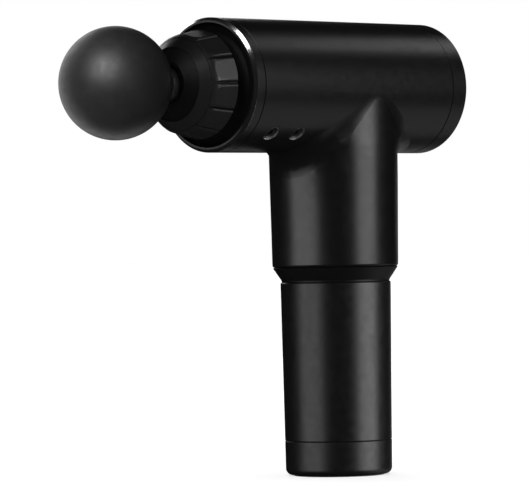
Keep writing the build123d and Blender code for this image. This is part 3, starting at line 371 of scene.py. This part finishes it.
def recess_mask(nodes, links, x, y, z):
    """The walls of the four side-screw recesses, cut after the barrel was blackened."""
    up = math_node(nodes, links, "SUBTRACT", z, BARREL_Z)
    side = math_node(nodes, links, "ABSOLUTE", y)
    across = math_node(nodes, links, "ADD",
                       math_node(nodes, links, "MULTIPLY", side, math.sin(SCREW_ANGLE)),
                       math_node(nodes, links, "MULTIPLY", up, math.cos(SCREW_ANGLE)))
    depth = math_node(nodes, links, "SUBTRACT",
                      math_node(nodes, links, "MULTIPLY", side, math.cos(SCREW_ANGLE)),
                      math_node(nodes, links, "MULTIPLY", up, math.sin(SCREW_ANGLE)))
    along = [math_node(nodes, links, "ABSOLUTE", math_node(nodes, links, "SUBTRACT", x, place))
             for place in SCREW_X]
    nearest = math_node(nodes, links, "MINIMUM", *along)
    square = math_node(nodes, links, "ADD", math_node(nodes, links, "MULTIPLY", across, across),
                       math_node(nodes, links, "MULTIPLY", nearest, nearest))
    inside = math_node(nodes, links, "LESS_THAN", square, SCREW_RECESS_R**2)
    below = math_node(nodes, links, "LESS_THAN", depth, RECESS_TOP_R)
    return math_node(nodes, links, "MULTIPLY", inside, below)


BLACK = (0.0045, 0.0045, 0.0047)
SOFT_BLACK = (0.0045, 0.0045, 0.0045)
barrel_finish = finish("barrel_anodised", BLACK, 0.33, spread=0.03, wear=0.08)
add_bright_zone(barrel_finish, recess_mask, (0.85, 0.85, 0.86), 0.5)
rim_finish = finish("rim_anodised", BLACK, 0.33)
add_bright_zone(rim_finish, chamfer_mask, (0.9, 0.9, 0.91), 0.16)
grip_finish = finish("grip_soft_touch", SOFT_BLACK, 0.36, grain=7000, bump=0.1, wear=0.2)
cap_finish = finish("bottom_cap", SOFT_BLACK, 0.38, grain=6000, bump=0.12)
collar_finish = finish("satin_collar", (0.004, 0.004, 0.004), 0.42, specular=0.25)
lobed_finish = finish("soft_grey", (0.014, 0.014, 0.0143), 0.36, grain=6000, bump=0.1, wear=0.1)
nose_finish = finish("nose_black", (0.006, 0.006, 0.0062), 0.5, bump=0.1, specular=0.3)
foam = finish("dense_foam", (0.016, 0.016, 0.016), 0.49, grain=4200, bump=0.22, mottle=0.2)
glossy_core = finish("glossy_core", (0.012, 0.012, 0.012), 0.22, bump=0.02)
piston_finish = finish("hard_anodised", (0.05, 0.05, 0.052), 0.22, 0.7, stretch=(1, 30, 30))
steel = finish("steel", (0.5, 0.5, 0.52), 0.28, 1.0)
dark_steel = finish("dark_steel", (0.05, 0.05, 0.052), 0.32, 0.9)
machined = finish("machined_aluminium", (0.6, 0.6, 0.61), 0.3, 1.0, stretch=(1, 8, 1))
copper = finish("copper", (0.65, 0.28, 0.12), 0.3, 1.0, stretch=(1, 6, 6))
bronze = finish("bronze", (0.55, 0.36, 0.15), 0.35, 1.0)
board_green = finish("board_green", (0.01, 0.12, 0.05), 0.35)
rubber = finish("rubber", (0.012, 0.012, 0.012), 0.65, grain=4000, bump=0.2)
cell_wrap = finish("cell_wrap", (0.02, 0.25, 0.12), 0.3)
lead_red = finish("lead_red", (0.4, 0.01, 0.01), 0.4)
panel_glass = finish("panel_glass", (0.004, 0.004, 0.005), 0.08, bump=0.0, spread=0.03, coat=0.5)
frosted = finish("frosted", (0.45, 0.5, 0.55), 0.4)
print_white = finish("print_white", (0.55, 0.56, 0.57), 0.5)

FINISH = {
    "black_anodised": barrel_finish, "trim_ring": rim_finish, "grip_black": grip_finish,
    "cap_black": cap_finish, "collar_black": collar_finish, "foot_rubber": rubber,
    "nose_black": nose_finish, "lobed_grey": lobed_finish, "seal_rubber": rubber,
    "bush_bronze": bronze, "chassis_nylon": nose_finish, "damper_rubber": rubber,
    "screw_black": dark_steel, "screw_steel": steel, "motor_aluminium": machined,
    "bearing_steel": steel, "electrical_steel": dark_steel, "copper": copper,
    "rotor_steel": dark_steel, "magnet": steel, "shaft_steel": steel,
    "piston_steel": piston_finish, "yoke_aluminium": machined, "liner_steel": steel,
    "ball_foam": foam, "core_plastic": glossy_core, "cell_wrap": cell_wrap,
    "holder_plastic": nose_finish, "nickel": steel, "circuit_board": board_green,
    "component_black": nose_finish, "lead_insulation": lead_red,
    "switch_plastic": nose_finish, "contact_brass": bronze, "panel_glass": panel_glass,
    "window_clear": frosted, "button_black": collar_finish, "rocker_black": collar_finish,
}
for part in record["subparts"]:
    node = frame["nodes"][part["node"]]
    node.data.materials.clear()
    node.data.materials.append(FINISH[part["material_slot"]])


# ---------------------------------------------------------------- printed marks
PRINT_T = 0.04 * MM          # how far a printed mark stands proud
BUTTON_DISH = 0.6 * MM       # the button's flat face lies this far behind its rim
SIGN_RING_R = 2.6 * MM
SIGN_LINE = 0.5 * MM
SIGN_GAP = 80                # degrees, open at the top of the ring
SIGN_STEPS = 32
SIGN_BAR_Z = (0.7 * MM, 3.2 * MM)


def new_piece(name, mesh_data, material, body):
    """Piece that only Blender adds; it moves with the body."""
    mesh = bpy.data.meshes.new(name)
    mesh_data.to_mesh(mesh)
    mesh_data.free()
    mesh.materials.append(material)
    piece = bpy.data.objects.new(name, mesh)
    bpy.context.scene.collection.objects.link(piece)
    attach(piece, body)
    return piece


def add_strip(data, inner, outer, thickness):
    """Slab between two lines of points that lie in one plane, raised by thickness."""
    lift = Vector(thickness)
    rows = [[data.verts.new(Vector(p) + up) for p in line]
            for line in (inner, outer) for up in (Vector(), lift)]
    inner_low, inner_high, outer_low, outer_high = rows
    for i in range(len(inner) - 1):
        j = i + 1
        data.faces.new((inner_high[i], outer_high[i], outer_high[j], inner_high[j]))
        data.faces.new((inner_low[i], inner_low[j], outer_low[j], outer_low[i]))
        data.faces.new((outer_high[i], outer_low[i], outer_low[j], outer_high[j]))
        data.faces.new((inner_low[i], inner_high[i], inner_high[j], inner_low[j]))
    for i in (0, -1):
        data.faces.new((inner_low[i], outer_low[i], outer_high[i], inner_high[i]))
    bmesh.ops.recalc_face_normals(data, faces=data.faces)


def power_mark():
    """Open ring with a bar, the usual stand-by sign, on the rear button's face."""
    face_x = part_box("power_button")[1][0] - BUTTON_DISH
    half = SIGN_LINE / 2
    data = bmesh.new()
    turns = [math.radians(90 + SIGN_GAP / 2 + i * (360 - SIGN_GAP) / SIGN_STEPS)
             for i in range(SIGN_STEPS + 1)]
    ring = [[(face_x, r * math.cos(t), BARREL_Z + r * math.sin(t)) for t in turns]
            for r in (SIGN_RING_R - half, SIGN_RING_R + half)]
    add_strip(data, *ring, (PRINT_T, 0, 0))
    bar = [[(face_x, y, BARREL_Z + z) for z in SIGN_BAR_Z] for y in (-half, half)]
    add_strip(data, *bar, (PRINT_T, 0, 0))
    new_piece("power_mark", data, print_white, "button")


power_mark()
